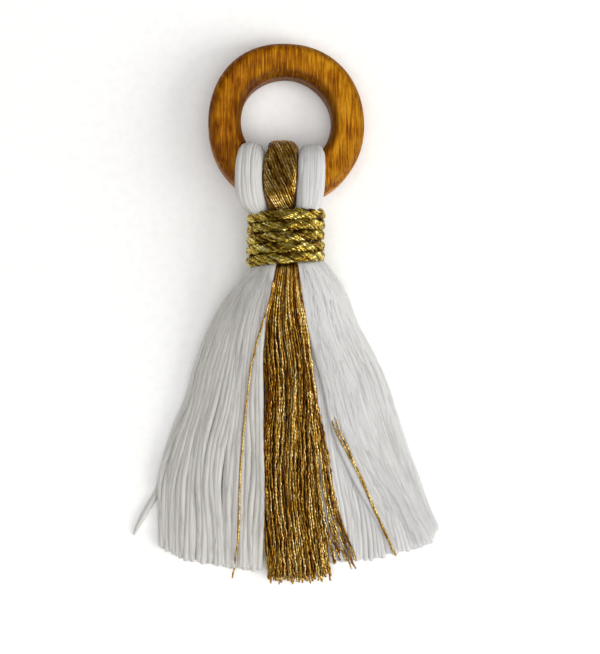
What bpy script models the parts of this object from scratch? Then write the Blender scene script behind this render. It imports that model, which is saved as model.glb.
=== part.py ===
"""A tassel on a turned wooden ring, lying on its back on a flat surface.

White cotton yarn and gold metallic thread are folded over the ring, bound below it with gold cord and cut to
a fringe. X runs across the tassel, Y along it towards the ring, and Z up from the surface. The origin is the
middle of the base of its bounding box. Tables are in millimetres and everything that is built is in metres.
"""

import math
from collections import namedtuple

import bpy
import numpy as np

MM = 0.001
GAP = 0.3  # between neighbouring pieces

# The ring: a rounded-rectangle section turned round an eye, and its lie on the yarn that it carries.
RING_CENTRE = (-0.2, 55.6, 7.1)
RING_EYE_RADIUS = 13.2
RING_BAND = 9.4
RING_THICKNESS = 8.8
RING_EDGE_RADIUS = 2.4
RING_LENGTHENED = 1.04  # hand turned: a little longer than wide
RING_SQUARENESS = 2.1  # and a little fuller at its corners than a true round, which is 2
RING_FOOT_WIDER = 0.4  # and wider at its lower side than at its top
RING_TILT_X = math.radians(5.5)  # the neck end rides up on the folded yarn
RING_TILT_Y = math.radians(5.0)  # and the left side with it
RING_STEPS = 56
RING_SECTION_STEPS = 5  # for each rounded edge

# The binding: five turns of cord side by side round an oval neck.
BINDING_TURNS = 5
CORD_DIAMETER = 3.05
NECK_CENTRE = (-0.1, 22.1, 10.0)
BORE_HALF_WIDTH = 8.25
BORE_HALF_HEIGHT = 6.7
TURN_SLOPE = 0.075  # each turn climbs from left to right, as a wound cord does
BINDING_STEPS = 44
TURN_STEPS = 5
TURN_SHOWS = 0.76  # share of a half circle that stands clear of the next turn
BORE_ROUNDING = 0.6

# The neck and the fringe, one row for each section across the strands, from above the binding to the tips.
# Left, gold_left, gold_right and right are where the white, gold and white bundles begin and end. The three
# heights along Y make each section an arc, because the outer strands fan out. Side_low and side_top are the
# underside and the top at the outer strands, low and top those in the middle.
Section = namedtuple(
    "Section",
    "left gold_left gold_right right left_y middle_y right_y side_low side_top low top",
)
NECK_AND_FRINGE = [
    Section(-8.9, -5.4, 2.5, 8.0, 31.0, 31.0, 31.0, 8.6, 11.4, 3.3, 16.7),
    Section(-8.0, -5.3, 2.5, 7.8, 29.6, 29.6, 29.6, 8.8, 11.2, 3.75, 16.25),
    Section(-8.0, -4.2, 2.8, 7.8, 22.3, 22.3, 22.3, 8.8, 11.2, 3.75, 16.25),
    Section(-8.0, -3.2, 3.2, 7.8, 15.2, 15.2, 15.2, 8.8, 11.2, 3.75, 16.25),
    Section(-11.0, -3.4, 3.6, 11.0, 12.2, 12.6, 14.6, 5.0, 9.8, 1.4, 17.2),
    Section(-17.4, -5.1, 4.8, 17.0, 5.2, 3.6, 6.6, 0.0, 5.0, 0.0, 16.3),
    Section(-22.4, -6.5, 6.3, 20.4, -4.0, -6.9, -3.1, 0.0, 2.6, 0.0, 14.2),
    Section(-26.8, -6.8, 7.2, 25.0, -14.3, -18.1, -13.1, 0.0, 2.0, 0.0, 12.4),
    Section(-30.2, -7.0, 7.9, 29.6, -25.0, -29.5, -23.1, 0.0, 1.9, 0.0, 10.8),
    Section(-34.4, -7.1, 9.1, 33.5, -35.3, -40.8, -33.4, 0.0, 1.9, 0.0, 9.3),
    Section(-37.2, -6.9, 9.9, 36.7, -46.1, -52.3, -44.0, 0.0, 1.9, 0.0, 7.8),
    Section(-37.6, -6.8, 11.0, 40.6, -57.2, -63.3, -54.2, 0.0, 1.9, 0.0, 6.4),
    Section(-37.8, -6.6, 12.1, 45.0, -67.2, -73.0, -62.0, 0.0, 1.9, 0.0, 5.2),
]
ARC_POWER = 1.8
CROWN_POWER = 2.2
CROWN_ROUNDING = 0.55
WHITE_COLUMNS = 20
GOLD_COLUMNS = 12
WHITE_TOOTH = 2.0  # how far a lock of the comb stands out at the cut end
GOLD_TOOTH = 2.4
GOLD_LONGER = 3.3  # the gold fringe passes the white by this much

# The loops over the ring, one row for each section along the folded strands, from the front of the neck over
# the ring, through its eye, and back behind it. Along and height are the middle of the layer, thick is across
# it, lean is the share of the ring's sideways tilt that it follows, and fold is 1 where it turns in the eye.
Loop = namedtuple("Loop", "left gold_left gold_right right along height thick lean fold")
LOOPS = [
    Loop(-7.4, -5.2, 2.5, 7.0, 28.6, 12.9, 5.4, 0.0, 0.0),
    Loop(-12.6, -5.5, 2.6, 10.0, 31.5, 14.6, 5.4, 0.4, 0.0),
    Loop(-14.2, -6.3, 2.8, 10.8, 34.6, 16.3, 5.2, 0.9, 0.0),
    Loop(-14.6, -6.7, 3.1, 11.1, 38.2, 16.5, 5.0, 1.0, 0.0),
    Loop(-14.5, -6.6, 3.2, 11.3, 42.6, 16.0, 5.2, 1.0, 0.3),
    Loop(-13.9, -6.3, 3.4, 11.2, 45.8, 13.6, 6.0, 1.0, 0.8),
    Loop(-12.7, -6.0, 3.6, 11.0, 47.0, 9.5, 6.8, 1.0, 1.0),
    Loop(-13.3, -6.2, 3.5, 11.0, 45.6, 5.3, 5.6, 0.8, 0.8),
    Loop(-14.0, -6.4, 3.2, 11.1, 42.4, 2.8, 4.4, 0.1, 0.3),
    Loop(-14.0, -6.5, 3.1, 11.0, 38.0, 2.6, 4.4, 0.1, 0.0),
    Loop(-13.6, -6.3, 2.8, 10.6, 34.6, 3.0, 4.6, 0.1, 0.0),
    Loop(-12.4, -5.5, 2.6, 9.8, 31.5, 4.9, 5.2, 0.0, 0.0),
    Loop(-7.4, -5.2, 2.5, 7.0, 28.6, 7.1, 5.4, 0.0, 0.0),
]
LOOP_SECTION_STEPS = 16
LOOP_SQUARENESS = 2.8  # a bundle of strands is flatter than an oval
LOOP_REFINE = 2  # sections made between two rows
RIGHT_LOOP_SHORTER = 1.0  # the right white loop turns this much lower in the eye than the others

# One white strand has strayed from the left of the fringe. It lies on the surface by itself.
Stray = namedtuple("Stray", "across along radius")
STRAY_YARN = [
    Stray(-35.6, -42.0, 0.9),
    Stray(-36.9, -48.0, 0.9),
    Stray(-38.1, -52.0, 0.95),
    Stray(-40.3, -55.9, 0.95),
    Stray(-42.4, -59.6, 0.9),
    Stray(-44.0, -62.6, 0.7),
    Stray(-45.0, -64.9, 0.3),
]
STRAY_STEPS = 8


def clear_scene():
    for old in list(bpy.data.objects):
        bpy.data.objects.remove(old)


def plain_material(name, colour, roughness, metallic):
    material = bpy.data.materials.new(name)
    material.use_nodes = True
    shader = material.node_tree.nodes["Principled BSDF"]
    shader.inputs["Base Color"].default_value = (*colour, 1.0)
    shader.inputs["Roughness"].default_value = roughness
    shader.inputs["Metallic"].default_value = metallic
    return material


def skin(sections, closed=False):
    """Points and faces of the surface through closed sections that all have the same, even number of points.

    An end is closed by a strip of faces from one half of its section across to the other.
    """
    count = len(sections[0])
    points = [point for section in sections for point in section]
    faces = []
    last = len(sections) if closed else len(sections) - 1
    for row in range(last):
        here = row * count
        there = (row + 1) % len(sections) * count
        for step in range(count):
            after = (step + 1) % count
            faces.append((here + step, here + after, there + after, there + step))
    if not closed:
        end = len(points) - count
        for step in range(count // 2 - 1):
            across = count - 1 - step
            faces.append((step, across, across - 1, step + 1))
            faces.append((end + step, end + step + 1, end + across - 1, end + across))
    return points, faces


def solid(name, sections, closed=False):
    """An object with its surface through these sections, which are in millimetres, facing outwards."""
    points, faces = skin(sections, closed)
    mesh = bpy.data.meshes.new(name)
    mesh.from_pydata([tuple(c * MM for c in point) for point in points], [], faces)
    if signed_volume(mesh) < 0:
        mesh.flip_normals()
    made = bpy.data.objects.new(name, mesh)
    bpy.context.collection.objects.link(made)
    return made


def signed_volume(mesh):
    mesh.calc_loop_triangles()
    total = 0.0
    for triangle in mesh.loop_triangles:
        a, b, c = (mesh.vertices[index].co for index in triangle.vertices)
        total += a.dot(b.cross(c)) / 6
    return total


def between_rows(rows, refine):
    """The rows with further ones between them, on a smooth curve through them all (Catmull-Rom)."""
    table = np.array(rows, float)
    padded = np.vstack([2 * table[0] - table[1], table, 2 * table[-1] - table[-2]])
    made = []
    for start in range(len(table) - 1):
        a, b, c, d = padded[start : start + 4]
        for part in range(refine):
            t = part / refine
            smooth = b + t * (c - a) / 2
            smooth += t**2 * (2 * a - 5 * b + 4 * c - d) / 2
            smooth += t**3 * (3 * b - a - 3 * c + d) / 2
            made.append(smooth)
    made.append(table[-1])
    return [type(rows[0])(*row) for row in made]


def combine(target, operand, operation):
    """Joins the operand to the target or cuts it away, and leaves it as a guide that isn't part of the model."""
    operand.hide_render = True
    operand.display_type = "WIRE"
    modifier = target.modifiers.new(operand.name, "BOOLEAN")
    modifier.operation = operation
    modifier.object = operand
    modifier.solver = "EXACT"


def ring_profile(grow):
    """The ring's section as (distance from the eye's wall, height) points, with rounded edges."""
    points = []
    half_band = RING_BAND / 2
    half_thickness = RING_THICKNESS / 2
    radius = RING_EDGE_RADIUS
    for corner in range(4):
        turn = corner * math.pi / 2
        side = 1 if corner in (0, 3) else -1
        level = 1 if corner < 2 else -1
        for step in range(RING_SECTION_STEPS):
            angle = turn + step / (RING_SECTION_STEPS - 1) * math.pi / 2
            across = side * (half_band - radius) + (radius + grow) * math.cos(angle)
            height = level * (half_thickness - radius) + (radius + grow) * math.sin(angle)
            points.append((half_band + across, height))
    return points


def make_ring(name, grow=0.0):
    """The ring, or with grow the room that it needs. Its eye is round and its outside is a little squarer."""
    sections = []
    for step in range(RING_STEPS):
        angle = step / RING_STEPS * 2 * math.pi
        sides = abs(math.cos(angle)) ** RING_SQUARENESS + abs(math.sin(angle)) ** RING_SQUARENESS
        full = sides ** (-1 / RING_SQUARENESS)
        section = []
        for outwards, height in ring_profile(grow):
            share = outwards / RING_BAND
            radius = RING_EYE_RADIUS * full**share + outwards * full
            across = radius * math.cos(angle)
            along = radius * math.sin(angle) * (1 + (RING_LENGTHENED - 1) * share) - RING_FOOT_WIDER * share
            section.append((across, along, height))
        sections.append(section)
    ring = solid(name, sections, closed=True)
    ring.location = [c * MM for c in RING_CENTRE]
    ring.rotation_euler = (-RING_TILT_X, RING_TILT_Y, 0.0)
    return ring


def make_binding(name, grow=0.0):
    """Five round-backed turns, one beside the next, on an oval bore. Each turn slopes with the cord's climb."""
    radius = CORD_DIAMETER / 2
    profile = []
    for turn in range(BINDING_TURNS):
        middle = (turn - (BINDING_TURNS - 1) / 2) * CORD_DIAMETER
        for step in range(TURN_STEPS):
            angle = math.pi * (0.5 + TURN_SHOWS * (step / (TURN_STEPS - 1) - 0.5))
            reach = radius + grow
            profile.append((middle - reach * math.cos(angle), radius + reach * math.sin(angle)))
    end = BINDING_TURNS * radius + grow
    profile.append((end, radius))
    profile.append((end - BORE_ROUNDING, -grow))
    profile.append((BORE_ROUNDING - end, -grow))
    profile.append((-end, radius))
    sections = []
    for step in range(BINDING_STEPS):
        angle = step / BINDING_STEPS * 2 * math.pi
        section = []
        for along, outwards in profile:
            across = (BORE_HALF_WIDTH + outwards) * math.cos(angle)
            height = (BORE_HALF_HEIGHT + outwards) * math.sin(angle)
            section.append(
                (
                    NECK_CENTRE[0] + across,
                    NECK_CENTRE[1] + along + TURN_SLOPE * across,
                    NECK_CENTRE[2] + height,
                )
            )
        sections.append(section)
    return solid(name, sections, closed=True)


def fringe_point(row, across):
    """Where the section is along Y, and its underside and top, at this place across it."""
    side, edge = (row.left_y, row.left) if across < 0 else (row.right_y, row.right)
    outer = min(1.0, abs(across / edge))
    along = row.middle_y + (side - row.middle_y) * outer**ARC_POWER
    middle = (row.left + row.right) / 2
    half_width = (row.right - row.left) / 2
    share = min(1.0, abs(across - middle) / half_width)
    crown = (1 - share**CROWN_POWER) ** CROWN_ROUNDING
    low = row.side_low + (row.low - row.side_low) * crown
    top = row.side_top + (row.top - row.side_top) * crown
    return along, low, top


def fringe_section(row, start, end, columns, extra):
    """A closed section from start to end across: along its underside, then back along its top."""
    under, over = [], []
    for column in range(columns + 1):
        across = start + (end - start) * column / columns
        along, low, top = fringe_point(row, across)
        along -= extra[column]
        under.append((across, along, low))
        over.append((across, along, top))
    return under + over[::-1]


def make_fringe(name, start_of, end_of, columns, tooth, longer):
    """The neck and fringe of one bundle. Its cut end is a comb, with each second column standing out."""
    sections = []
    last = len(NECK_AND_FRINGE) - 1
    for place, row in enumerate(NECK_AND_FRINGE):
        extra = [0.0] * (columns + 1)
        if place == last:
            extra = [longer + tooth * (column % 2) for column in range(columns + 1)]
        sections.append(fringe_section(row, start_of(row), end_of(row), columns, extra))
    return solid(name, sections)


def make_loop(name, start_of, end_of, shorter):
    """One bundle's loop over the ring, as a flattened tube whose both ends are inside the neck."""
    rows = between_rows(LOOPS, LOOP_REFINE)
    path = np.array([(row.along, row.height) for row in rows])
    heading = np.gradient(path, axis=0)
    heading /= np.linalg.norm(heading, axis=1)[:, None]
    slope = math.tan(RING_TILT_Y)
    sections = []
    for row, (forward, upward) in zip(rows, heading):
        start, end = start_of(row), end_of(row)
        section = []
        for step in range(LOOP_SECTION_STEPS):
            angle = (step + 0.5) / LOOP_SECTION_STEPS * 2 * math.pi
            across, out = math.cos(angle), math.sin(angle)
            across = math.copysign(abs(across) ** (2 / LOOP_SQUARENESS), across)
            out = math.copysign(abs(out) ** (2 / LOOP_SQUARENESS), out) * row.thick / 2
            x = (start + end) / 2 + across * (end - start) / 2
            y = row.along - upward * out - shorter * row.fold
            z = row.height + forward * out - slope * row.lean * x
            section.append((x, y, max(z, GAP)))
        sections.append(section)
    return solid(name, sections)


def make_hank(name, start_of, end_of, columns, tooth, longer=0.0, shorter=0.0):
    """A bundle of strands: its neck and fringe, with its loop over the ring joined on."""
    hank = make_fringe(name, start_of, end_of, columns, tooth, longer)
    loop = make_loop(name + "_loop", start_of, end_of, shorter)
    combine(hank, loop, "UNION")
    return hank


def make_stray(name):
    sections = []
    for spot, row in enumerate(STRAY_YARN):
        before = STRAY_YARN[max(0, spot - 1)]
        after = STRAY_YARN[min(len(STRAY_YARN) - 1, spot + 1)]
        heading = math.atan2(after.along - before.along, after.across - before.across)
        section = []
        for step in range(STRAY_STEPS):
            angle = (step + 0.5) / STRAY_STEPS * 2 * math.pi
            aside = row.radius * math.cos(angle)
            section.append(
                (
                    row.across - aside * math.sin(heading),
                    row.along + aside * math.cos(heading),
                    row.radius * (1 + math.sin(angle)),
                )
            )
        sections.append(section)
    return solid(name, sections)


def main():
    clear_scene()
    wood = plain_material("varnished_wood", (0.46, 0.2, 0.03), 0.35, 0.0)
    cotton = plain_material("white_cotton", (0.8, 0.79, 0.76), 0.9, 0.0)
    thread = plain_material("gold_metallic_thread", (0.5, 0.33, 0.08), 0.4, 0.8)
    cord = plain_material("gold_metallic_cord", (0.5, 0.36, 0.09), 0.4, 0.8)

    ring = make_ring("wood_ring")
    ring.data.materials.append(wood)
    room_for_ring = make_ring("room_for_ring", GAP)

    binding = make_binding("gold_binding")
    binding.data.materials.append(cord)
    room_for_binding = make_binding("room_for_binding", GAP)

    half_gap = GAP / 2
    left = make_hank(
        "white_yarn_left",
        lambda row: row.left,
        lambda row: row.gold_left - half_gap,
        WHITE_COLUMNS,
        WHITE_TOOTH,
    )
    combine(left, make_stray("stray_yarn"), "UNION")
    right = make_hank(
        "white_yarn_right",
        lambda row: row.gold_right + half_gap,
        lambda row: row.right,
        WHITE_COLUMNS,
        WHITE_TOOTH,
        shorter=RIGHT_LOOP_SHORTER,
    )
    middle = make_hank(
        "gold_thread",
        lambda row: row.gold_left + half_gap,
        lambda row: row.gold_right - half_gap,
        GOLD_COLUMNS,
        GOLD_TOOTH,
        longer=GOLD_LONGER,
    )
    for hank, material in ((left, cotton), (right, cotton), (middle, thread)):
        hank.data.materials.append(material)
        combine(hank, room_for_ring, "DIFFERENCE")
        combine(hank, room_for_binding, "DIFFERENCE")
    for piece in (ring, binding):
        piece.data.shade_smooth()


main()
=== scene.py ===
import math
from collections import namedtuple

import bpy
import numpy as np
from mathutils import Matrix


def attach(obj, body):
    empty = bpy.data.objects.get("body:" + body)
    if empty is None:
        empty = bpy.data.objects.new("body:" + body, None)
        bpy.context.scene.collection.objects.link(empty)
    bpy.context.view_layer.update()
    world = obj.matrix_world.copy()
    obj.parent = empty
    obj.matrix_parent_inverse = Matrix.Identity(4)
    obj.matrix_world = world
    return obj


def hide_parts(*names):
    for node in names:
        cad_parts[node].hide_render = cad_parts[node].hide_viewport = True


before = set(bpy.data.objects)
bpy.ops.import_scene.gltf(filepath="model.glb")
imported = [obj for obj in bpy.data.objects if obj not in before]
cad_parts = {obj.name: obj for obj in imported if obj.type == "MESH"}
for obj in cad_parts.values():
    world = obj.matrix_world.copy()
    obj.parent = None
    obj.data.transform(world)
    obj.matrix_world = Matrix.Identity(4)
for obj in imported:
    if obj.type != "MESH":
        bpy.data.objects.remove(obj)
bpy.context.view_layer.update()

# A tassel of white cotton yarn and gold metallic thread on a turned wooden ring, lying on its back.
# X runs across it, Y along it towards the ring, and Z up. Sizes are in millimetres until a mesh is made.


# ---- Floor, lamps and camera -------------------------------------------------------------------------
# The tassel lies on matt white card in an evenly lit room. A wide lamp overhead keeps the card white, a soft
# key lamp stands low on the right and a weak warm one on the left. It is looked at from straight above.

MM = 0.001
FLOOR_HALF_WIDTH = 900.0
FLOOR_STEPS = 24
CARD_WHITE = "#FBFBFA"
CARD_SHADE = "#F7F7F6"
CARD_MOTTLE = 2.5  # the card's pulp, drawn about ten times coarser than it is so that it shows
CAMERA_ABOVE = (3.9, -3.6, 450.0)
CAMERA_LENS = 83.9
CAMERA_SENSOR = 36.0
Lamp = namedtuple("Lamp", "name across along height size watts colour mirrored")
LAMPS = [
    Lamp("overhead_lamp", 150.0, -150.0, 1800.0, 2200.0, 23.5, "#FFFFFF", False),
    Lamp("key_lamp", 1600.0, -550.0, 1050.0, 1300.0, 26.0, "#FFFEFB", True),
    Lamp("fill_lamp", -1300.0, 200.0, 900.0, 1200.0, 2.0, "#FFF4E8", True),
]
ROOM_COLOUR = "#FFFFFF"
ROOM_NEAR = 0.34  # the strength of its light from the near side, from the far one, and low on its walls
ROOM_FAR = 0.06
ROOM_WALLS = 0.75


def linear(colour):
    """An sRGB hex colour as the linear red, green, blue and alpha that a shader takes."""
    shares = [int(colour[place : place + 2], 16) / 255 for place in (1, 3, 5)]
    return [s / 12.92 if s <= 0.04045 else ((s + 0.055) / 1.055) ** 2.4 for s in shares] + [1.0]


def feed(tree, node, feeds):
    """Fills a node's inputs, named by identifier, with values, outputs, or nodes that have one output."""
    for socket in node.inputs:
        value = feeds.get(socket.identifier)
        if isinstance(value, bpy.types.Node):
            value = next(output for output in value.outputs if output.enabled)
        if isinstance(value, bpy.types.NodeSocket):
            tree.links.new(value, socket)
        elif value is not None:
            socket.default_value = value


def add(tree, kind, feeds, ramp=(), **settings):
    """Adds a node with its settings and the stops of its colour ramp, and feeds its inputs."""
    node = tree.nodes.new("ShaderNode" + kind)
    for setting, value in settings.items():
        setattr(node, setting, value)
    for place, (position, colour) in enumerate(ramp):
        stops = node.color_ramp.elements
        stop = stops[place] if place < 2 else stops.new(position)
        stop.position = position
        stop.color = linear(colour)
    feed(tree, node, feeds)
    return node


def new_material(name, **constants):
    """A material with one shader, whose constant values are set on its own inputs."""
    material = bpy.data.materials.new(name)
    material.use_nodes = True
    tree = material.node_tree
    shader = tree.nodes["Principled BSDF"]
    for socket, value in constants.items():
        shader.inputs[socket.replace("_", " ")].default_value = value
    return material, tree, shader


def new_piece(name, points, faces, material, attributes=None):
    """An object from points in millimetres and blocks of faces, smooth, with named values on its points."""
    mesh = bpy.data.meshes.new(name)
    mesh.vertices.add(len(points))
    mesh.vertices.foreach_set("co", (np.asarray(points, float) * MM).ravel())
    corners = np.concatenate([block.ravel() for block in faces])
    sizes = np.concatenate([np.full(len(block), block.shape[1]) for block in faces])
    mesh.loops.add(len(corners))
    mesh.loops.foreach_set("vertex_index", corners)
    mesh.polygons.add(len(sizes))
    mesh.polygons.foreach_set("loop_start", np.cumsum(sizes) - sizes)
    mesh.update(calc_edges=True)
    mesh.shade_smooth()
    for label, values in (attributes or {}).items():
        plain = values.ndim == 1
        layer = mesh.attributes.new(label, "FLOAT" if plain else "FLOAT_VECTOR", "POINT")
        layer.data.foreach_set("value" if plain else "vector", values.ravel())
    mesh.materials.append(material)
    piece = bpy.data.objects.new(name, mesh)
    bpy.context.collection.objects.link(piece)
    return piece


# White card, matt and uncoated: an even, faintly mottled white that takes a soft shadow.
card, tree, shader = new_material("matt_white_card", Roughness=0.95)
place = add(tree, "TexCoord", {}).outputs["Object"]
mottle = add(tree, "TexNoise", {"Vector": place, "Scale": 1 / (CARD_MOTTLE * MM), "Detail": 3.0})
tone = add(tree, "ValToRGB", {"Fac": mottle}, ramp=[(0.3, CARD_SHADE), (0.6, CARD_WHITE)])
feed(tree, shader, {"Base Color": tone})

side = np.linspace(-FLOOR_HALF_WIDTH, FLOOR_HALF_WIDTH, FLOOR_STEPS + 1)
floor_points = [(x, y, 0.0) for y in side for x in side]
floor_faces = []
for down in range(FLOOR_STEPS):
    for over in range(FLOOR_STEPS):
        corner = down * (FLOOR_STEPS + 1) + over
        floor_faces.append((corner, corner + 1, corner + FLOOR_STEPS + 2, corner + FLOOR_STEPS + 1))
floor = new_piece("floor", floor_points, [np.array(floor_faces)], card)

for lamp in LAMPS:
    light = bpy.data.lights.new(lamp.name, "AREA")
    light.shape = "DISK"
    light.size = lamp.size * MM
    light.energy = lamp.watts
    light.color = linear(lamp.colour)[:3]
    holder = bpy.data.objects.new(lamp.name, light)
    holder.location = (lamp.across * MM, lamp.along * MM, lamp.height * MM)
    holder.rotation_euler = (-holder.location).to_track_quat("-Z", "Y").to_euler()
    holder.visible_glossy = lamp.mirrored
    bpy.context.collection.objects.link(holder)

room = bpy.data.worlds.new("room")
room.use_nodes = True
room.node_tree.nodes["Background"].inputs["Color"].default_value = linear(ROOM_COLOUR)
seen = add(room.node_tree, "TexCoord", {}).outputs["Generated"]
way = add(room.node_tree, "SeparateXYZ", {"Vector": seen}).outputs
reach = {"Value": way["Y"], "From Min": -0.7, "From Max": 0.7, "To Min": ROOM_NEAR, "To Max": ROOM_FAR}
above = add(room.node_tree, "MapRange", reach)
reach = {"Value": way["Z"], "From Min": 0.1, "From Max": 0.34, "To Min": ROOM_WALLS, "To Max": 0.0}
walls = add(room.node_tree, "MapRange", reach, interpolation_type="SMOOTHSTEP")
strength = add(room.node_tree, "Math", {"Value": above, "Value_001": walls}, operation="ADD")
feed(room.node_tree, room.node_tree.nodes["Background"], {"Strength": strength})
bpy.context.scene.world = room
bpy.context.scene.view_settings.view_transform = "Standard"

camera = bpy.data.objects.new("camera", bpy.data.cameras.new("camera"))
camera.location = [value * MM for value in CAMERA_ABOVE]
camera.data.lens = CAMERA_LENS
camera.data.sensor_width = CAMERA_SENSOR
bpy.context.collection.objects.link(camera)
bpy.context.scene.camera = camera


# ---- Wooden ring -------------------------------------------------------------------------------------
# A hardwood ring, turned by hand to a rounded-rectangle section, stained amber and varnished. It hangs in
# the folded yarn, so it lies tilted on it.

RING_CENTRE = (-0.2, 55.6, 7.1)
RING_EYE_RADIUS = 13.2
RING_BAND = 9.4
RING_THICKNESS = 8.8
RING_EDGE_RADIUS = 2.4
RING_LENGTHENED = 1.04
RING_SQUARENESS = 2.1
RING_FOOT_WIDER = 0.4
RING_TILT = (math.radians(-5.5), math.radians(5.0))
RING_STEPS = 300
EDGE_STEPS = 9
FLAT_STEPS = 9
TOOL_WANDER = 0.13  # how far the turning strays from its true shape
WOOD_DARK = "#653302"
WOOD_MID = "#965903"
WOOD_LIGHT = "#C28415"
PAINTED_LIGHT_ACROSS = 0.0035  # painted light: the ring is painted lighter towards its right side, where the key lamp falls, by this much in each millimetre
WOOD_PORE = "#4A2000"
WOOD_STAIN_AND_SHADE = "#421C00"
STREAK_WIDTH = 0.55  # the wood's growth lines, across and along the grain
STREAK_LENGTH = 8.0
PORE_WIDTH = 0.3
PORE_LENGTH = 3.2


def ring_section():
    """The ring's section, as points across and up, and how near each is to a rounded edge."""
    half_band = RING_BAND / 2 - RING_EDGE_RADIUS
    half_thick = RING_THICKNESS / 2 - RING_EDGE_RADIUS
    corners = [(half_band, half_thick), (-half_band, half_thick)]
    corners += [(-half_band, -half_thick), (half_band, -half_thick)]
    points = []
    for corner, (across, up) in enumerate(corners):
        for step in range(EDGE_STEPS):
            angle = (corner + step / (EDGE_STEPS - 1)) * math.pi / 2
            nearness = math.sin(2 * (angle - corner * math.pi / 2))
            reach_across = across + RING_EDGE_RADIUS * math.cos(angle)
            points.append((reach_across, up + RING_EDGE_RADIUS * math.sin(angle), nearness))
        following = corners[(corner + 1) % 4]
        angle = (corner + 1) * math.pi / 2
        for step in range(1, FLAT_STEPS):
            share = step / FLAT_STEPS
            flat_across = across + (following[0] - across) * share + RING_EDGE_RADIUS * math.cos(angle)
            flat_up = up + (following[1] - up) * share + RING_EDGE_RADIUS * math.sin(angle)
            points.append((flat_across, flat_up, 0.0))
    return np.array(points)


def grid_faces(rows, columns, closed_rows, closed_columns):
    """Quads between the points of a grid, which may close on itself either way."""
    row = np.arange(rows if closed_rows else rows - 1)[:, None]
    column = np.arange(columns if closed_columns else columns - 1)[None, :]
    row_after = (row + 1) % rows
    column_after = (column + 1) % columns
    corners = [row * columns + column, row * columns + column_after]
    corners += [row_after * columns + column_after, row_after * columns + column]
    return np.stack(np.broadcast_arrays(*corners), -1).reshape(-1, 4)


section = ring_section()
angle = np.arange(RING_STEPS)[:, None] / RING_STEPS * 2 * np.pi
sides = np.abs(np.cos(angle)) ** RING_SQUARENESS + np.abs(np.sin(angle)) ** RING_SQUARENESS
full = sides ** (-1 / RING_SQUARENESS)
strays = np.sin(3 * angle + 0.7) + np.sin(5 * angle + 2.1 + section[None, :, 1] * 0.4)
outwards = section[None, :, 0] + RING_BAND / 2
share = outwards / RING_BAND
radius = RING_EYE_RADIUS * full**share + outwards * full + TOOL_WANDER * 0.5 * strays
across = radius * np.cos(angle)
along = radius * np.sin(angle) * (1 + (RING_LENGTHENED - 1) * share) - RING_FOOT_WIDER * share
up = section[None, :, 1] + 0 * angle + TOOL_WANDER * 0.5 * np.sin(2 * angle + share * 3)
flat_ring = np.stack([across, along, up], -1).reshape(-1, 3)
tilt_x, tilt_y = RING_TILT
level, lift = math.cos(tilt_x), math.sin(tilt_x)
turn_x = np.array([[1, 0, 0], [0, level, -lift], [0, lift, level]])
level, lift = math.cos(tilt_y), math.sin(tilt_y)
turn_y = np.array([[level, 0, lift], [0, 1, 0], [-lift, 0, level]])
ring_points = flat_ring @ (turn_y @ turn_x).T + np.array(RING_CENTRE)
inner_wall = np.clip(1 - share * 3.2, 0, 1) + 0 * angle
edge = np.broadcast_to(section[None, :, 2], share.shape) + 0 * angle
# The edge and eye mask: real staining gathered on the rounded edges, and painted shade on the inner wall of
# the eye.
stain_and_shade = np.clip(0.65 * edge + 0.8 * inner_wall, 0, 1).ravel()

# Amber-stained, varnished hardwood: long fine growth lines and darker pores along one way of the ring, a
# deeper colour from staining on the rounded edges, painted shade on the inner wall of the eye, painted light
# that makes the right side lighter, and a soft gloss from brushed varnish.
wood, tree, shader = new_material("amber_varnished_hardwood", Roughness=0.45, IOR=1.5, Coat_Weight=0.06)
shader.inputs["Specular IOR Level"].default_value = 0.05
shader.inputs["Coat Roughness"].default_value = 0.18
grain = add(tree, "Attribute", {}, attribute_name="grain").outputs["Vector"]
stain_and_shade_here = add(tree, "Attribute", {}, attribute_name="stain_and_shade").outputs["Fac"]
scale = (1 / STREAK_WIDTH, 1 / STREAK_LENGTH, 0.5 / STREAK_WIDTH)
streaks = add(tree, "Mapping", {"Vector": grain, "Scale": scale})
lines = add(tree, "TexNoise", {"Vector": streaks, "Scale": 1.0, "Detail": 4.0, "Distortion": 0.6})
broad = add(tree, "TexNoise", {"Vector": grain, "Scale": 0.2, "Detail": 4.0, "Roughness": 0.6})
# Painted light: the wood's colour grows lighter towards the ring's right side, where the key lamp falls.
side = add(tree, "SeparateXYZ", {"Vector": grain}).outputs["X"]
by_side = {"Value": side, "Value_001": PAINTED_LIGHT_ACROSS, "Value_002": lines}
painted_right_light = add(tree, "Math", by_side, operation="MULTIPLY_ADD")
both = add(tree, "Math", {"Value": broad, "Value_001": 0.5, "Value_002": painted_right_light}, operation="MULTIPLY_ADD")
tone = add(
    tree,
    "ValToRGB",
    {"Fac": both},
    ramp=[(0.54, WOOD_DARK), (0.93, WOOD_LIGHT), (0.74, WOOD_MID)],
)
scale = (1 / PORE_WIDTH, 1 / PORE_LENGTH, 1 / PORE_WIDTH)
pore_room = add(tree, "Mapping", {"Vector": grain, "Scale": scale})
pores = add(tree, "TexNoise", {"Vector": pore_room, "Scale": 1.0, "Detail": 1.0})
open_pores = add(tree, "MapRange", {"Value": pores, "From Min": 0.62, "From Max": 0.74, "To Max": 0.55})
pored = add(
    tree,
    "Mix",
    {"Factor_Float": open_pores, "A_Color": tone, "B_Color": linear(WOOD_PORE)},
    data_type="RGBA",
)
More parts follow.
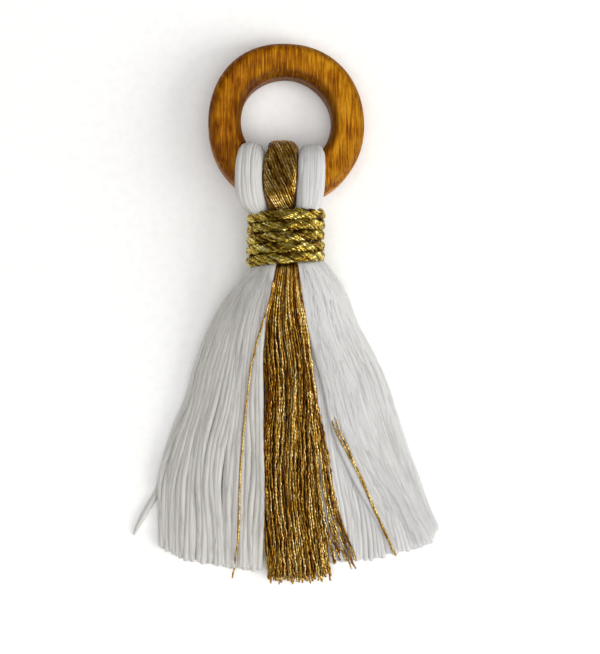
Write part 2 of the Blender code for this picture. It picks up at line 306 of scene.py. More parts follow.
# Darkens the wood by that mask: staining on the edges and painted shade in the eye.
stain_and_shade_share = add(tree, "Math", {"Value": stain_and_shade_here, "Value_001": 0.72}, operation="MULTIPLY")
finish = add(
    tree,
    "Mix",
    {"Factor_Float": stain_and_shade_share, "A_Color": pored, "B_Color": linear(WOOD_STAIN_AND_SHADE)},
    data_type="RGBA",
)
relief = add(tree, "Bump", {"Height": lines, "Strength": 0.25, "Distance": 0.05 * MM})
feed(tree, shader, {"Base Color": finish, "Normal": relief})

ring = new_piece(
    "turned_ring",
    ring_points,
    [grid_faces(RING_STEPS, len(section), True, True)],
    wood,
    {"grain": flat_ring, "stain_and_shade": stain_and_shade},
)
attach(ring, "root")
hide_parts("wood_ring")


# ---- White cotton loops ------------------------------------------------------------------------------
# Soft single-ply cotton yarn in two bundles, folded over the ring on both sides of the gold. The left one
# still shows its strands; the right one is brushed smooth.

Loop = namedtuple("Loop", "left gold_left gold_right right along height thick lean fold")
LOOPS = [
    Loop(-7.4, -5.2, 2.5, 7.0, 28.6, 12.9, 5.4, 0.0, 0.0),
    Loop(-12.6, -5.5, 2.6, 10.0, 31.5, 14.6, 5.4, 0.4, 0.0),
    Loop(-14.2, -6.3, 2.8, 10.8, 34.6, 16.3, 5.2, 0.9, 0.0),
    Loop(-14.6, -6.7, 3.1, 11.1, 38.2, 16.5, 5.0, 1.0, 0.0),
    Loop(-14.5, -6.6, 3.2, 11.3, 42.6, 16.0, 5.2, 1.0, 0.3),
    Loop(-13.9, -6.3, 3.4, 11.2, 45.8, 13.6, 6.0, 1.0, 0.8),
    Loop(-12.7, -6.0, 3.6, 11.0, 47.0, 9.5, 6.8, 1.0, 1.0),
    Loop(-13.3, -6.2, 3.5, 11.0, 45.6, 5.3, 5.6, 0.8, 0.8),
    Loop(-14.0, -6.4, 3.2, 11.1, 42.4, 2.8, 4.4, 0.1, 0.3),
    Loop(-14.0, -6.5, 3.1, 11.0, 38.0, 2.6, 4.4, 0.1, 0.0),
    Loop(-13.6, -6.3, 2.8, 10.6, 34.6, 3.0, 4.6, 0.1, 0.0),
    Loop(-12.4, -5.5, 2.6, 9.8, 31.5, 4.9, 5.2, 0.0, 0.0),
    Loop(-7.4, -5.2, 2.5, 7.0, 28.6, 7.1, 5.4, 0.0, 0.0),
]
LOOP_SQUARENESS = 2.8
LOOP_END = len(LOOPS) - 1
LOOP_USUAL_SIZE = (8.5, 5.2)
LOOP_TOP_SLANT = 0.22  # the left loop is lower beside the gold than at its outer side
YARN_RADIUS = 0.95
YARN_SIDES = 8
LOOP_YARN_STEPS = 64
# The spun and brushed colours are one cotton. The brushed copy on the right is painted lighter, as painted
# light from the key lamp on the right.
SPUN_SHADE = "#BBB8B1"
SPUN_WHITE = "#C8C6C2"
BRUSHED_PAINTED_LIT_SHADE = "#C1BFBD"
BRUSHED_PAINTED_LIT_WHITE = "#CBCAC9"
COTTON_DEPTH = 0.6  # how far light wanders in the yarn
FIBRE_WIDTH = 0.32  # cotton fibres are 0.02 mm: drawn coarser, as the locks that show
FIBRE_LENGTH = 9.0
FUZZ_RADIUS = 0.05
FUZZ_STEPS = 10
ROW_SPACING = 4.5  # the usual distance between two rows of the table
X_AXIS = np.array([1.0, 0.0, 0.0])


def between(rows, place):
    """A table's values at places between its rows, on a smooth curve through them (Catmull-Rom)."""
    table = np.array(rows, float)
    step = table[-1] - table[-2]
    padded = np.vstack([2 * table[0] - table[1], table, table[-1] + step, table[-1] + 2 * step])
    whole = np.clip(np.floor(place).astype(int), 0, len(table) - 1)
    t = (place - whole)[..., None]
    a, b, c, d = (padded[whole + shift] for shift in range(4))
    smooth = b + t * (c - a) / 2
    smooth += t**2 * (2 * a - 5 * b + 4 * c - d) / 2
    smooth += t**3 * (3 * b - a - 3 * c + d) / 2
    return type(rows[0])(*np.moveaxis(smooth, -1, 0))


def unit(vectors):
    return vectors / np.linalg.norm(vectors, axis=-1, keepdims=True)


def walked(lines):
    """How far along its own line each point is."""
    steps = np.linalg.norm(np.diff(lines, axis=1), axis=-1)
    return np.concatenate([np.zeros((len(lines), 1)), np.cumsum(steps, axis=1)], axis=1)


def wander(rng, distance, shortest, longest):
    """A slow random swing for each strand, about one either way, as three waves between these lengths."""
    swing = np.zeros_like(distance)
    for wave in range(3):
        length = rng.uniform(shortest, longest, (len(distance), 1))
        start = rng.uniform(0, 2 * np.pi, (len(distance), 1))
        swing += np.sin(2 * np.pi * distance / length + start)
    return swing / 2


def strands(
    name,
    lines,
    radii,
    sides,
    material,
    rng,
    beside=X_AXIS,
    plies=0,
    ply_depth=0.0,
    ply_pitch=1.0,
    tints=(0, 1),
):
    """One mesh with a closed tube along each line. Plied thread has a lobed section that turns along it."""
    count, steps = lines.shape[:2]
    heading = unit(np.gradient(lines, axis=1))
    over = unit(np.cross(heading, beside))
    aside = np.cross(over, heading)
    distance = walked(lines)
    start = rng.uniform(0, 2 * np.pi, (count, 1, 1))
    angle = np.arange(sides) / sides * 2 * np.pi + 0 * distance[..., None]
    lobes = 1 + ply_depth * np.cos(plies * (angle - 2 * np.pi * distance[..., None] / ply_pitch) + start)
    reach = radii[..., None] * lobes
    out = np.cos(angle)[..., None] * aside[:, :, None] + np.sin(angle)[..., None] * over[:, :, None]
    points = lines[:, :, None] + reach[..., None] * out
    one = grid_faces(steps, sides, False, True)
    faces = (np.arange(count)[:, None, None] * steps * sides + one).reshape(-1, 4)
    first = np.arange(count)[:, None] * steps * sides + np.arange(sides)[None, :]
    last = first + (steps - 1) * sides
    tint = rng.uniform(*tints, count)
    lay = np.stack([reach * np.cos(angle), reach * np.sin(angle), distance[..., None] + 0 * reach], -1)
    attributes = {
        "lay": lay.reshape(-1, 3),
        "tint": np.repeat(tint, steps * sides),
    }
    return new_piece(name, points.reshape(-1, 3), [faces, first[:, ::-1], last], material, attributes)


def loop_lines(start_of, end_of, share, inset, shorter, place):
    """Lines over the ring at these shares of the way round the bundle's section, inset from its skin."""
    turn = np.linspace(0, 2 * np.pi, 361)
    width, thickness = LOOP_USUAL_SIZE
    x = width * np.copysign(np.abs(np.cos(turn)) ** (2 / LOOP_SQUARENESS), np.cos(turn))
    z = thickness * np.copysign(np.abs(np.sin(turn)) ** (2 / LOOP_SQUARENESS), np.sin(turn))
    skin = np.concatenate([[0], np.cumsum(np.hypot(np.diff(x), np.diff(z)))])
    turn = np.interp(share % 1, skin / skin[-1], turn)
    row = between(LOOPS, place)
    ahead = between(LOOPS, place + 0.02)
    heading = unit(np.stack([ahead.along - row.along, ahead.height - row.height], -1))
    start, end = start_of(row), end_of(row)
    across, out = np.cos(turn), np.sin(turn)
    across = np.copysign(np.abs(across) ** (2 / LOOP_SQUARENESS), across)
    out = np.copysign(np.abs(out) ** (2 / LOOP_SQUARENESS), out) * (row.thick / 2 - inset)
    x = (start + end) / 2 + across * ((end - start) / 2 - inset)
    y = row.along - heading[..., 1] * out - shorter * row.fold
    z = row.height + heading[..., 0] * out - math.tan(RING_TILT[1]) * row.lean * x
    y = y - LOOP_TOP_SLANT * row.fold * np.where(x < -5, x + 12, 0)
    return np.stack([x, y, np.maximum(z, inset)], -1)


def cotton_yarn(name, shade, white, fibre_relief):
    """Cotton yarn: matt, soft at its edges, with long fibres that lie along each strand."""
    material, tree, shader = new_material(name, Roughness=1.0, Sheen_Weight=0.25, Sheen_Roughness=0.6)
    shader.inputs["Specular IOR Level"].default_value = 0.1
    shader.inputs["Subsurface Weight"].default_value = 0.2
    shader.inputs["Subsurface Radius"].default_value = (1.0, 0.96, 0.9)
    shader.inputs["Subsurface Scale"].default_value = COTTON_DEPTH * MM
    lay = add(tree, "Attribute", {}, attribute_name="lay").outputs["Vector"]
    tint = add(tree, "Attribute", {}, attribute_name="tint").outputs["Fac"]
    spot = add(tree, "Math", {"Value": tint, "Value_001": 97.0}, operation="MULTIPLY")
    shifted = add(tree, "VectorMath", {"Vector": lay, "Vector_001": spot}, operation="ADD")
    scale = (1 / FIBRE_WIDTH, 1 / FIBRE_WIDTH, 1 / FIBRE_LENGTH)
    drawn = add(tree, "Mapping", {"Vector": shifted, "Scale": scale})
    fibres = add(tree, "TexNoise", {"Vector": drawn, "Scale": 1.0, "Detail": 3.0, "Distortion": 0.4})
    mixed = {"Value": tint, "Value_001": 0.3, "Value_002": fibres}
    depth = add(tree, "Math", mixed, operation="MULTIPLY_ADD")
    tone = add(tree, "ValToRGB", {"Fac": depth}, ramp=[(0.3, shade), (0.75, white)])
    relief = add(tree, "Bump", {"Height": fibres, "Strength": fibre_relief, "Distance": 0.2 * MM})
    feed(tree, shader, {"Base Color": tone, "Normal": relief})
    return material


# Slackly spun cotton, matt and greyish white, whose strands still show.
spun_cotton = cotton_yarn("slack_spun_cotton", SPUN_SHADE, SPUN_WHITE, 0.5)
# The same cotton brushed out, so it shows fewer strands. Its lighter colour is painted light: this copy, on
# the right half, is painted lighter than the spun one, where the key lamp on the right falls.
brushed_lit_cotton = cotton_yarn("brushed_cotton_painted_lit", BRUSHED_PAINTED_LIT_SHADE, BRUSHED_PAINTED_LIT_WHITE, 0.25)


def loose_fibres(rng, lines, radii, count, steps, lift):
    """Lines of stray fibres that stand off these strands by up to lift and drift across them."""
    strand = rng.integers(0, len(lines), (count, 1))
    step = rng.integers(2, lines.shape[1] - steps + 1, (count, 1)) + np.arange(steps)
    base = lines[strand, step]
    over = unit(np.cross(unit(np.gradient(base, axis=1)), X_AXIS))
    aside = np.cross(over, unit(np.gradient(base, axis=1)))
    distance = walked(base)
    angle = rng.uniform(0, np.pi, (count, 1)) + 0.7 * wander(rng, distance, 10, 40)
    stand = radii[strand, step] + lift * np.abs(wander(rng, distance, 8, 30))
    return base + stand[..., None] * (np.cos(angle)[..., None] * aside + np.sin(angle)[..., None] * over)


Bundle = namedtuple("Bundle", "name start_of end_of node shorter radius outer inner cotton seed")
WHITE_LOOPS = [
    Bundle(
        "white_loops_left",
        lambda row: row.left,
        lambda row: row.gold_left,
        "white_yarn_left",
        0.0,
        0.8,
        20,
        8,
        spun_cotton,
        11,
    ),
    Bundle(
        "white_loops_right",
        lambda row: row.gold_right,
        lambda row: row.right,
        "white_yarn_right",
        1.0,
        1.15,
        26,
        6,
        brushed_lit_cotton,
        12,
    ),
]
LOOP_FUZZ = 260
for bundle in WHITE_LOOPS:
    rng = np.random.default_rng(bundle.seed)
    place = np.linspace(0, LOOP_END, LOOP_YARN_STEPS)[None, :]
    made = []
    for count, inset in ((bundle.outer, bundle.radius), (bundle.inner, 2.4 * bundle.radius)):
        share = (np.arange(count)[:, None] + rng.uniform(-0.25, 0.25, (count, 1))) / count
        share = share + 0.008 * wander(rng, place * ROW_SPACING + 0 * share, 14, 40)
        depth = inset + 0.1 * (1 + wander(rng, place * ROW_SPACING + 0 * share, 14, 40))
        everywhere = place + 0 * share
        made.append(loop_lines(bundle.start_of, bundle.end_of, share, depth, bundle.shorter, everywhere))
    lines = np.concatenate(made)
    radii = bundle.radius * (1 + 0.04 * wander(rng, walked(lines), 8, 25))
    loops = strands(bundle.name, lines, radii, YARN_SIDES, bundle.cotton, rng)
    fibres = loose_fibres(rng, lines[: bundle.outer], radii, LOOP_FUZZ, FUZZ_STEPS, 0.25)
    fuzz = strands(bundle.name + "_fuzz", fibres, FUZZ_RADIUS + 0 * fibres[..., 0], 3, bundle.cotton, rng)
    for piece in (loops, fuzz):
        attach(piece, "root")
        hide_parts(bundle.node)


# ---- White cotton fringe -----------------------------------------------------------------------------
# The same yarn below the binding: each half fans out from the neck, several strands deep, and is cut off in
# one slanting line.

Section = namedtuple(
    "Section",
    "left gold_left gold_right right left_y middle_y right_y side_low side_top low top",
)
NECK_AND_FRINGE = [
    Section(-8.9, -5.4, 2.5, 8.0, 31.0, 31.0, 31.0, 8.6, 11.4, 3.3, 16.7),
    Section(-8.0, -5.3, 2.5, 7.8, 29.6, 29.6, 29.6, 8.8, 11.2, 3.75, 16.25),
    Section(-8.0, -4.2, 2.8, 7.8, 22.3, 22.3, 22.3, 8.8, 11.2, 3.75, 16.25),
    Section(-8.0, -3.2, 3.2, 7.8, 15.2, 15.2, 15.2, 8.8, 11.2, 3.75, 16.25),
    Section(-11.0, -3.4, 3.6, 11.0, 12.2, 12.6, 14.6, 5.0, 9.8, 1.4, 17.2),
    Section(-17.4, -5.1, 4.8, 17.0, 5.2, 3.6, 6.6, 0.0, 5.0, 0.0, 16.3),
    Section(-22.4, -6.5, 6.3, 20.4, -4.0, -6.9, -3.1, 0.0, 2.6, 0.0, 14.2),
    Section(-26.8, -6.8, 7.2, 25.0, -14.3, -18.1, -13.1, 0.0, 2.0, 0.0, 12.4),
    Section(-30.2, -7.0, 7.9, 29.6, -25.0, -29.5, -23.1, 0.0, 1.9, 0.0, 10.8),
    Section(-34.4, -7.1, 9.1, 33.5, -35.3, -40.8, -33.4, 0.0, 1.9, 0.0, 9.3),
    Section(-37.2, -6.9, 9.9, 36.7, -46.1, -52.3, -44.0, 0.0, 1.9, 0.0, 7.8),
    Section(-37.6, -6.8, 11.0, 40.6, -57.2, -63.3, -54.2, 0.0, 1.9, 0.0, 6.4),
    Section(-37.8, -6.6, 12.1, 45.0, -67.2, -73.0, -62.0, 0.0, 1.9, 0.0, 5.2),
]
ARC_POWER = 1.8
CROWN_POWER = 2.2
CROWN_ROUNDING = 0.55
FRINGE_START = 2.3  # in rows of the table: hidden under the binding
FRINGE_YARN_END = 12.08
FRINGE_YARN_STEPS = 62
NECK_SQUEEZE = 0.62  # the binding squeezes a strand to this share of its radius


def skirt(place, x):
    """How far along the skirt these places are, at x across it, and the height of its two sides there."""
    row = between(NECK_AND_FRINGE, place)
    side_y = np.where(x < 0, row.left_y, row.right_y)
    side_x = np.where(x < 0, row.left, row.right)
    y = row.middle_y + (side_y - row.middle_y) * np.clip(np.abs(x / side_x), 0, 1.1) ** ARC_POWER
    share = np.clip(np.abs(x - (row.left + row.right) / 2) / ((row.right - row.left) / 2), 0, 1)
    crown = (1 - share**CROWN_POWER) ** CROWN_ROUNDING
    low = row.side_low + (row.low - row.side_low) * crown
    return y, low, row.side_top + (row.top - row.side_top) * crown


def fringe_lines(place, start_of, end_of, across, up, radius):
    """Lines through the fringe at these shares across the bundle and up its depth."""
    row = between(NECK_AND_FRINGE, place)
    x = start_of(row) + (end_of(row) - start_of(row)) * across
    y, low, top = skirt(place, x)
    return np.stack([x, y, low + radius + np.maximum(top - low - 2 * radius, 0) * up], -1)


def smooth_step(value, low, high):
    share = np.clip((value - low) / (high - low), 0, 1)
    return share * share * (3 - 2 * share)


def sway(rng, across, distance, shortest, longest, locks):
    """A slow swing that neighbours share, so that the strands move in this many locks."""
    swing = 0 * distance
    for wave in range(4):
        turns = distance / rng.uniform(shortest, longest) + across * rng.uniform(-locks, locks)
        swing = swing + np.sin(2 * np.pi * (turns + rng.uniform(0, 1)))
    return swing / 2


# The brushed top of the right half has slipped to the right and leaves the strands under it open to view.
SLIPPED_FROM = (4.0, 5.5, 8.0, 9.5, 12.0)
SLIPPED_BY = (0.0, 0.03, 0.2, 0.36, 0.56)
# How much longer the strands are than an even cut, at these shares of the way across each half.
LONGER_LEFT = ((0.0, 0.08, 0.22, 1.0), (0.0, 0.03, 0.15, 0.13))
LONGER_RIGHT = ((0.0, 0.29, 0.44, 0.6, 0.78, 0.9, 1.0), (-0.06, 0.14, 0.22, 0.22, 0.3, 0.3, 0.05))
Half = namedtuple("Half", "name start_of end_of node layers longer spread swing dip slipped cotton seed")
WHITE_FRINGE = [
    Half(
        "white_fringe_left",
        lambda row: row.left + 0.7,
        lambda row: row.gold_left - 0.1,
        "white_yarn_left",
        ((0.0, 20), (0.4, 22), (0.92, 23), (1.0, 21)),
        LONGER_LEFT,
        0.3,
        0.4,
        0.14,
        0.0,
        spun_cotton,
        21,
    ),
    Half(
        "white_fringe_right",
        lambda row: row.gold_right + 0.1,
        lambda row: row.right - 0.1,
        "white_yarn_right",
        ((0.0, 20), (0.4, 20), (0.82, 28), (1.0, 36)),
        LONGER_RIGHT,
        0.45,
        0.25,
        0.06,
        1.0,
        brushed_lit_cotton,
        22,
    ),
]
FRINGE_FUZZ = 520
HIDDEN_BELOW = 0.8  # of the skirt's depth
HIDDEN_STAGGER = 0.13  # of that depth, from one strand to the next in the layers that don't show
for half in WHITE_FRINGE:
    rng = np.random.default_rng(half.seed)
    offsets = [0.5 - 0.25 * (count % 4 > 1) for up, count in half.layers]
    spots = [(np.arange(count) + offset) / count for (up, count), offset in zip(half.layers, offsets)]
    across = np.concatenate(spots)
    gap = np.concatenate([np.full(count, 1 / count) for up, count in half.layers])
    up = np.concatenate([np.full(count, up) for up, count in half.layers])
    up = up + np.where(up < HIDDEN_BELOW, HIDDEN_STAGGER * (np.arange(len(up)) % 3), 0)
    across = (across + gap * rng.uniform(-half.spread, half.spread, len(gap)))[:, None]
    last_slip = half.slipped * SLIPPED_BY[-1] * (up == 1)
    reached = last_slip + (1 - last_slip) * across[:, 0]
    end = FRINGE_YARN_END + np.interp(reached, *half.longer) + rng.uniform(-0.06, 0.06, len(gap))
    place = FRINGE_START + (end[:, None] - FRINGE_START) * np.linspace(0, 1, FRINGE_YARN_STEPS)
    loose = smooth_step(place, 3.5, 9.0)
    radii = YARN_RADIUS * (NECK_SQUEEZE + (1 - NECK_SQUEEZE) * smooth_step(place, 3.4, 6.5))
    slip = half.slipped * np.interp(place, SLIPPED_FROM, SLIPPED_BY) * (up[:, None] == 1)
    across_here = slip + (1 - slip) * across
    lines = fringe_lines(place, half.start_of, half.end_of, across_here, up[:, None], radii)
    distance = walked(lines)
    lines[..., 0] += 0.8 * loose * sway(rng, across, distance, 40, 90, 1.5)
    lines[..., 0] += half.swing * loose * wander(rng, distance, 30, 80)
    lines[..., 2] += 0.3 * loose * sway(rng, across, distance, 60, 150, 5.0)
    lines[..., 2] += half.dip * loose * wander(rng, distance, 25, 70)
    lines[..., 2] = np.maximum(lines[..., 2], 1.05 * radii)
    radii = radii * (1 + 0.05 * wander(rng, distance, 10, 35))
    radii *= 1 - 0.35 * smooth_step(distance / distance[:, -1:], 0.985, 1.0)
    fringe = strands(half.name, lines, radii, YARN_SIDES, half.cotton, rng)
    seen = up > HIDDEN_BELOW
    fibres = loose_fibres(rng, lines[seen], radii[seen], FRINGE_FUZZ, FUZZ_STEPS, 0.3)
    fibres[..., 2] = np.maximum(fibres[..., 2], FUZZ_RADIUS)
    fuzz = strands(half.name + "_fuzz", fibres, FUZZ_RADIUS + 0 * fibres[..., 0], 3, half.cotton, rng)
    for piece in (fringe, fuzz):
        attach(piece, "root")
        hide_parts(half.node)

# One strand has come away from the left edge. It lies along the skirt and then on the card, and tapers to
# its tip.
STRAY_YARN = [
    (-35.7, -42.0, 0.9),
    (-36.9, -48.0, 0.9),
    (-38.1, -52.0, 0.95),
    (-40.3, -55.9, 0.95),
    (-42.4, -59.6, 0.9),
    (-44.0, -62.6, 0.78),
    (-45.0, -64.9, 0.42),
]
STRAY_YARN_POINTS = 70


def thread_along(points, steps):
    """A line of evenly spaced points on a smooth curve through these, and its length."""
    Point = namedtuple("Point", "x y z")
    curve = np.stack(between([Point(*point) for point in points], np.linspace(0, len(points) - 1, 600)), -1)
    distance = walked(curve[None])[0]
    even = np.linspace(0, distance[-1], steps)
    return np.stack([np.interp(even, distance, curve[:, axis]) for axis in range(3)], -1), distance[-1]


places = np.linspace(4.3, 8.8, 7)
edge = fringe_lines(places, WHITE_FRINGE[0].start_of, WHITE_FRINGE[0].end_of, 0.01, 0.5, 0.9)
line, length = thread_along([tuple(point) for point in edge] + STRAY_YARN, STRAY_YARN_POINTS)
taper = np.interp(line[:, 1], [-65, -62.6, -59, 0], [0.32, 0.65, 0.88, 0.9])
rng = np.random.default_rng(23)
stray = strands("stray_yarn", line[None], taper[None], YARN_SIDES, spun_cotton, rng)
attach(stray, "root")
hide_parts("white_yarn_left")


# ---- Gold thread over the ring -----------------------------------------------------------------------
# Metallic thread: a strip of metallised film wound on a brown core, two such plied together. A bundle of
# it goes over the ring between the white ones and turns once as it goes.

THREAD_RADIUS = 0.28
THREAD_SIDES = 6
PLY_DEPTH = 0.2
PLY_PITCH = 3.4
FILM_PALE = "#F0D794"
FILM_GOLD = "#C0922F"
FILM_DEEP = "#703C0C"
CORE_BROWN = "#381000"
FILM_PITCH = 1.1  # of the wound film: really 0.4 mm, drawn longer to show
# GLINT_LENGTH: the length of the painted glints along a thread.
GLINT_LENGTH = 2.2
GOLD_LOOP_STEPS = 120
GOLD_LOOP_RADIUS = 0.3
GOLD_LOOP_OUTER = 30
GOLD_LOOP_INNER = 20
GOLD_LOOP_TURNS = 1.05  # of the bundle between the two ends of its loop


def metallic_thread(name, pale, middle, deep):
    """Metallised film wound on a brown core: bright film, brown between the turns, and short painted glints
    along a thread.
    """
    material, tree, shader = new_material(name, Roughness=0.34)
    lay = add(tree, "Attribute", {}, attribute_name="lay").outputs["Vector"]
    tint = add(tree, "Attribute", {}, attribute_name="tint").outputs["Fac"]
    parts = add(tree, "SeparateXYZ", {"Vector": lay}).outputs
    angle_round = add(tree, "Math", {"Value": parts["Y"], "Value_001": parts["X"]}, operation="ARCTAN2")
    turns = add(tree, "Math", {"Value": angle_round, "Value_001": 2 * math.pi}, operation="DIVIDE")
    start = {"Value": tint, "Value_001": 61.0, "Value_002": turns}
    begun = add(tree, "Math", start, operation="MULTIPLY_ADD")
    feeds = {"Value": parts["Z"], "Value_001": 1 / FILM_PITCH, "Value_002": begun}
    wound = add(tree, "Math", feeds, operation="MULTIPLY_ADD")
    phase = add(tree, "Math", {"Value": wound}, operation="FRACT")
    centred = add(tree, "Math", {"Value": phase, "Value_001": 0.5}, operation="SUBTRACT")
    off_middle = add(tree, "Math", {"Value": centred}, operation="ABSOLUTE")
    edges = {"Value": off_middle, "From Min": 0.34, "From Max": 0.5, "To Min": 1.0, "To Max": 0.1}
    film = add(tree, "MapRange", edges)
    # Painted glints: noise drawn long along each thread lifts the film's colour from deep towards pale in
    # short streaks, on top of each thread's own tint.
    spot = add(tree, "Math", {"Value": tint, "Value_001": 173.0}, operation="MULTIPLY")
    shifted = add(tree, "VectorMath", {"Vector": lay, "Vector_001": spot}, operation="ADD")
    long_room = add(tree, "Mapping", {"Vector": shifted, "Scale": (0.9, 0.9, 1 / GLINT_LENGTH)})
    painted_glints = add(tree, "TexNoise", {"Vector": long_room, "Scale": 1.0, "Detail": 2.0, "Roughness": 0.6})
    by_thread = {"Value": tint, "Value_001": 0.4, "Value_002": painted_glints}
    shade = add(tree, "Math", by_thread, operation="MULTIPLY_ADD")
    shine = add(tree, "ValToRGB", {"Fac": shade}, ramp=[(0.5, deep), (0.9, pale), (0.7, middle)])
    layers = {"Factor_Float": film, "A_Color": linear(CORE_BROWN), "B_Color": shine}
    colour = add(tree, "Mix", layers, data_type="RGBA")
    metal = add(tree, "MapRange", {"Value": film, "To Min": 0.5, "To Max": 1.0})
    relief = add(tree, "Bump", {"Height": film, "Strength": 0.5, "Distance": 0.08 * MM})
    feed(tree, shader, {"Base Color": colour, "Metallic": metal, "Normal": relief})
    return material


gold = metallic_thread("metallised_film_thread", FILM_PALE, FILM_GOLD, FILM_DEEP)


def gold_from(row):
    return row.gold_left + 0.15


def gold_to(row):
    return row.gold_right - 0.15


rng = np.random.default_rng(31)
place = np.linspace(0, LOOP_END, GOLD_LOOP_STEPS)[None, :]
made = []
for count, inset in ((GOLD_LOOP_OUTER, THREAD_RADIUS), (GOLD_LOOP_INNER, 4 * THREAD_RADIUS)):
    share = (np.arange(count)[:, None] + rng.uniform(-0.12, 0.12, (count, 1))) / count
    share = share + GOLD_LOOP_TURNS * place / LOOP_END
    share = share + 0.002 * wander(rng, place * ROW_SPACING + 0 * share, 8, 24)
    made.append(loop_lines(gold_from, gold_to, share, inset, 0.0, place + 0 * share))
lines = np.concatenate(made)
lines += 0.03 * np.stack([wander(rng, walked(lines), 2.5, 6) for axis in range(3)], -1)
radii = GOLD_LOOP_RADIUS * (1 + 0.06 * wander(rng, walked(lines), 4, 14))
radii[GOLD_LOOP_OUTER:] *= 1.8
gold_loop = strands(
    "gold_loop",
    lines,
    radii,
    THREAD_SIDES,
    gold,
    rng,
    plies=2,
    ply_depth=PLY_DEPTH,
    ply_pitch=PLY_PITCH,
    tints=(0.25, 0.75),
)
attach(gold_loop, "root")
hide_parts("gold_thread")


# ---- Gold fringe -------------------------------------------------------------------------------------
# The same thread below the binding, through the whole depth of the skirt and cut a little longer than the
# cotton. It is springier, so its threads are crimped and part from each other.

FRINGE_THREAD_RADIUS = 0.28
FRINGE_THREAD_STEPS = 170
FRINGE_THREAD_SIDES = 5
FRINGE_THREADS = 34
FRINGE_DEPTHS = (0.0, 0.35, 0.7, 0.86, 1.0)
FRINGE_THREAD_END = 12.42
GOLD_END_UNEVEN = 0.16
# Threads that stray into the white on the right: most in one wisp, and some between the cotton strands.
Wisp = namedtuple("Wisp", "threads spread_from spread_to up_from up_to shorter")
WISPS = [Wisp(7, 0.38, 0.45, 0.98, 1.02, 0.25), Wisp(7, 0.06, 0.32, 0.97, 1.0, 0.5)]

rng = np.random.default_rng(41)
threads = FRINGE_THREADS * len(FRINGE_DEPTHS)
across = np.arange(threads) % FRINGE_THREADS + 0.5 + rng.uniform(-0.45, 0.45, threads)
across = across / FRINGE_THREADS
up = np.array(FRINGE_DEPTHS)[np.arange(threads) // FRINGE_THREADS]
up = np.clip(up + rng.uniform(-0.1, 0.04, threads), 0, 1)
spread = np.zeros(threads)
shorter = 0 * spread
for wisp in WISPS:
    across = np.concatenate([across, rng.uniform(0.86, 0.99, wisp.threads)])
    up = np.concatenate([up, rng.uniform(wisp.up_from, wisp.up_to, wisp.threads)])
    spread = np.concatenate([spread, rng.uniform(wisp.spread_from, wisp.spread_to, wisp.threads)])
    shorter = np.concatenate([shorter, rng.uniform(wisp.shorter - 0.15, wisp.shorter, wisp.threads)])
threads = len(across)
end = FRINGE_THREAD_END - shorter + GOLD_END_UNEVEN * np.clip(rng.normal(0, 0.7, threads), -1.6, 1.2)
place = FRINGE_START + (end[:, None] - FRINGE_START) * np.linspace(0, 1, FRINGE_THREAD_STEPS)
loose = smooth_step(place, 3.3, 7.0)
radii = FRINGE_THREAD_RADIUS * (0.85 + 0.15 * smooth_step(place, 3.4, 5.5))
parted = across[:, None] + spread[:, None] * np.clip((place - 6.5) / 5.5, 0, 1.1)
lines = fringe_lines(place, gold_from, gold_to, parted, up[:, None], radii)
distance = walked(lines)
lines[..., 0] += 0.7 * loose * sway(rng, across[:, None], distance, 40, 90, 1.5)
lines[..., 0] += np.where(spread > 0.3, 0.2, 0.4)[:, None] * loose * wander(rng, distance, 25, 80)
lines[..., 0] += 0.12 * loose * wander(rng, distance, 5, 14)
lines[..., 0] += 0.12 * loose * wander(rng, distance, 2.2, 4.0)
lines[..., 2] += 0.35 * loose * wander(rng, distance, 12, 50)
lines[..., 2] += 0.07 * loose * wander(rng, distance, 2.4, 4.5)
lines[..., 2] = np.maximum(lines[..., 2], 1.25 * radii)
for number, part_of in enumerate(np.array_split(rng.permutation(threads), 2)):
    fringe = strands(
        f"gold_fringe_{number + 1}",
        lines[part_of],
        radii[part_of],
        FRINGE_THREAD_SIDES,
        gold,
        rng,
        plies=2,
        ply_depth=PLY_DEPTH,
        ply_pitch=PLY_PITCH,
    )
    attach(fringe, "root")
    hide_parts("gold_thread")

# Three threads have come away on top of the white: one at the left, and a pair that leaves the right half
# halfway down.
Away = namedtuple("Away", "name points buried")
STRAY_THREADS = [
    Away(
        "stray_thread_left",
        [(-3.6, 9.5), (-4.3, 5.5), (-5.3, 2.0), (-8.0, -6.5), (-10.1, -14.9), (-11.4, -24.7), (-12.6, -36.4)]
        + [(-13.5, -47.8), (-13.9, -61.7), (-14.8, -70.3), (-15.9, -77.3)],
        0.0,
    ),
    Away(
        "stray_thread_right_1",
        [(10.4, -19.5), (12.6, -26.0), (14.6, -32.0), (17.4, -38.0), (22.6, -49.3), (27.0, -59.6)]
        + [(32.0, -70.6)],
        3.0,
    ),
    Away(
        "stray_thread_right_2",
        [(10.0, -21.0), (12.2, -27.5), (14.0, -33.2), (17.5, -39.8), (22.1, -49.0), (26.9, -60.0)]
        + [(31.2, -69.2)],
        3.0,
    ),
]
HIGHEST_STRAND = 0.45  # of the strands under them, above the skirt's even height
STRAY_THREAD_POINTS = 170
CUT_END_ALONG = -71.5  # the skirt is cut here, and past it a thread lies at this height
OFF_THE_SKIRT = 2.0


def on_skirt(across, along):
    """The height of the skirt's upper side at this point."""
    places = np.linspace(3.6, 12.6, 400)
    reached = skirt(places, across + 0 * places)[0]
    here = np.interp(-along, -reached, places)
    return float(skirt(np.array([here]), np.array([across]))[2][0])


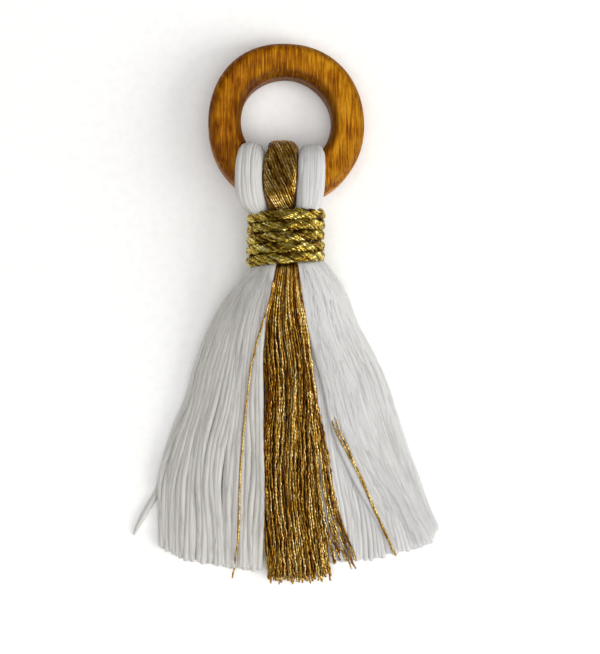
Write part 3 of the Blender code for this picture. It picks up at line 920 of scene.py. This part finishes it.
for number, away in enumerate(STRAY_THREADS):
    rng = np.random.default_rng(61 + number)
    points = []
    for step, (across, along) in enumerate(away.points):
        height = on_skirt(across, along) + HIGHEST_STRAND - away.buried * max(0, 1 - 0.5 * step)
        height = height if along > CUT_END_ALONG else OFF_THE_SKIRT
        points.append((across, along, height))
    line = thread_along(points, STRAY_THREAD_POINTS)[0]
    distance = walked(line[None])
    line = line + 0.08 * np.stack([wander(rng, distance, 3, 12)[0] for axis in range(3)], -1)
    radii = np.full((1, len(line)), FRINGE_THREAD_RADIUS)
    thread = strands(
        away.name,
        line[None],
        radii,
        THREAD_SIDES,
        gold,
        rng,
        plies=2,
        ply_depth=PLY_DEPTH,
        ply_pitch=PLY_PITCH,
        tints=(0.6, 0.8),
    )
    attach(thread, "root")
    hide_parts("gold_thread")
    length = walked(line[None])[0, -1]


# ---- Gold binding ------------------------------------------------------------------------------------
# One length of metallic cord, twelve fine threads twisted on a core, wound five times round the neck from
# its lower left to its upper right, with both ends tucked in behind.

BINDING_TURNS = 5
LAST_SEEN_TURN = 4.62  # from here its end is tucked in behind
CORD_DIAMETER = 3.05
NECK_CENTRE = (-0.1, 22.1, 10.0)
BORE_HALF_WIDTH = 8.25
BORE_HALF_HEIGHT = 6.7
CORD_PALE = "#FFF6A8"
CORD_GOLD = "#D0B440"
CORD_DEEP = "#603F0E"
CORD_THREADS = 12
CORD_THREAD_RADIUS = 0.36
CORD_CORE_RADIUS = 1.15
CORD_TWIST = 13.0  # along the cord for one turn of its threads
CORD_PLIES = 3
CORD_PLY_PITCH = 14.0
CORD_LUMPS = 0.22
CORD_STEPS = 700
TUCKED_TURN = 0.22
TUCKED_DEPTH = 3.5
NECK_GIRTH = 60  # roughly, once round
Y_AXIS = np.array([0.0, 1.0, 0.0])

cord_gold = metallic_thread("metallised_film_cord", CORD_PALE, CORD_GOLD, CORD_DEEP)

rng = np.random.default_rng(51)
turns = np.linspace(-TUCKED_TURN, LAST_SEEN_TURN + TUCKED_TURN, CORD_STEPS)[None, :]
angle = np.pi - 2 * np.pi * turns
tuck = 1 - smooth_step(turns, -TUCKED_TURN, 0.0)
tuck += smooth_step(turns, LAST_SEEN_TURN, LAST_SEEN_TURN + TUCKED_TURN)
out = CORD_DIAMETER / 2 - TUCKED_DEPTH * tuck + 0.15 * wander(rng, turns * NECK_GIRTH, 20, 70)
cord_x = NECK_CENTRE[0] + (BORE_HALF_WIDTH + out) * np.cos(angle)
cord_z = NECK_CENTRE[2] + (BORE_HALF_HEIGHT + out) * np.sin(angle)
cord_y = NECK_CENTRE[1] + (turns - BINDING_TURNS / 2 + 0.25) * CORD_DIAMETER
cord_y += 0.12 * wander(rng, turns * NECK_GIRTH, 15, 50)
cord_line = np.stack([cord_x, cord_y, cord_z], -1)
heading = unit(np.gradient(cord_line, axis=1))
over = unit(np.cross(heading, Y_AXIS))
aside = np.cross(over, heading)
distance = walked(cord_line)
made = [cord_line]
for number in range(CORD_THREADS):
    turn = number / CORD_THREADS * 2 * np.pi + 2 * np.pi * distance / CORD_TWIST
    turn = turn + 0.16 * wander(rng, distance, 6, 22)
    lumps = np.cos(CORD_PLIES * (turn + 2 * np.pi * distance / CORD_PLY_PITCH))
    reach = CORD_DIAMETER / 2 - CORD_THREAD_RADIUS + CORD_LUMPS * lumps + 0.1 * wander(rng, distance, 4, 12)
    sideways = (reach * np.cos(turn))[..., None] * aside
    upwards = (reach * np.sin(turn))[..., None] * over
    made.append(cord_line + sideways + upwards)
lines = np.concatenate(made)
thickness = np.full((len(lines), 1), CORD_THREAD_RADIUS)
thickness[0] = CORD_CORE_RADIUS
radii = thickness * (1 + 0.1 * wander(rng, walked(lines), 3, 9))
binding = strands(
    "gold_cord_binding",
    lines,
    radii,
    THREAD_SIDES,
    cord_gold,
    rng,
    beside=Y_AXIS,
    plies=2,
    ply_depth=PLY_DEPTH,
    ply_pitch=PLY_PITCH,
)
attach(binding, "root")
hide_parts("gold_binding")
